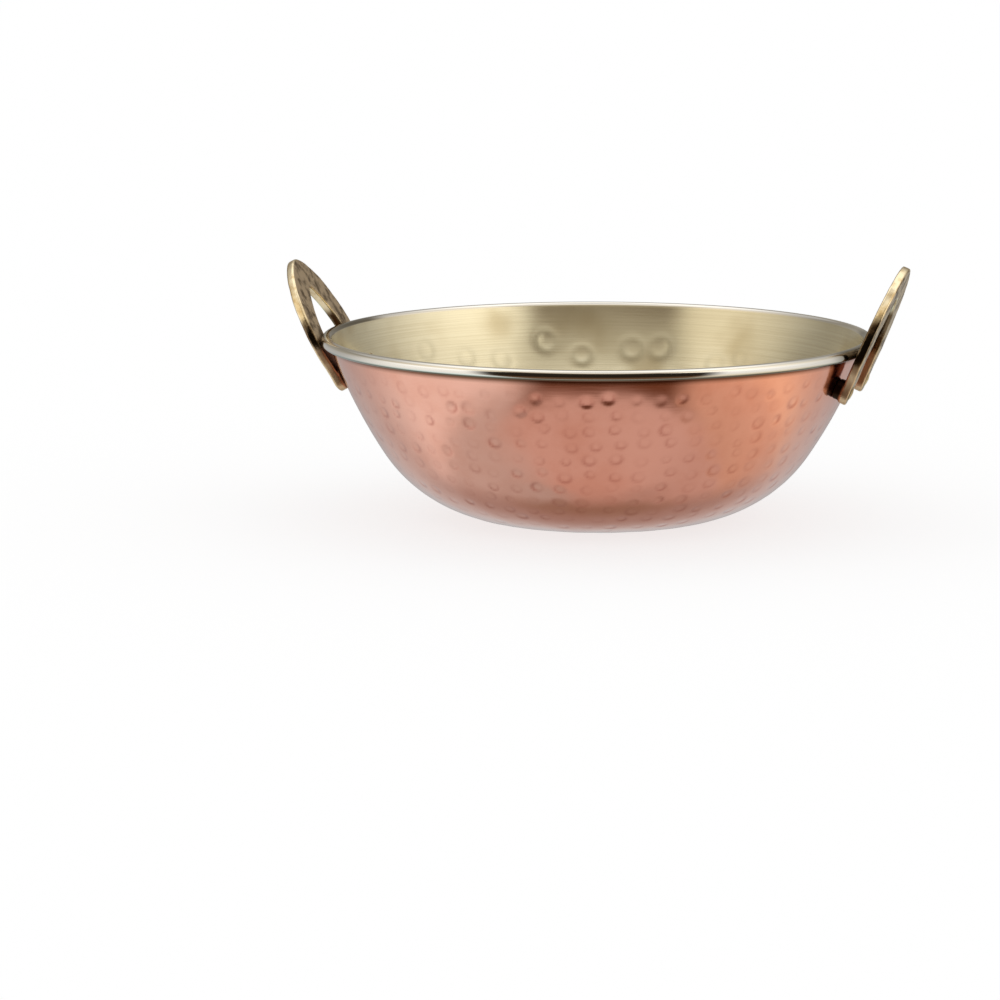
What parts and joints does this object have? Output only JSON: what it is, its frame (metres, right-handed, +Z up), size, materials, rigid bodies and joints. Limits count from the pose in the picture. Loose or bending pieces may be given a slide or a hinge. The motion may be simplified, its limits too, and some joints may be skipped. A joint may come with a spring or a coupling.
{
  "type": "kadai",
  "caption": "Round-bottomed two-layer kadai: hammered copper bowl over a steel liner with a rolled rim and riveted cast brass loop handles.",
  "frame": {"origin": "middle of the flat base, on the surface the kadai stands on", "axes": "+Z up through the bowl's axis, +X towards one handle and -X towards the other"},
  "size_m": [0.2875, 0.25, 0.1182],
  "materials": {
    "copper": "satin hammered copper",
    "steel": "satin spun",
    "cast_brass": "aged satin, cast",
    "rivet_brass": "hammered satin"
  },
  "bodies": {
    "root": {"copper_shell": "copper", "steel_liner": "steel", "handle_right": "cast_brass", "handle_left": "cast_brass", "rivet_right_back": "rivet_brass", "rivet_right_front": "rivet_brass", "rivet_left_back": "rivet_brass", "rivet_left_front": "rivet_brass"}
  },
  "joints": []
}
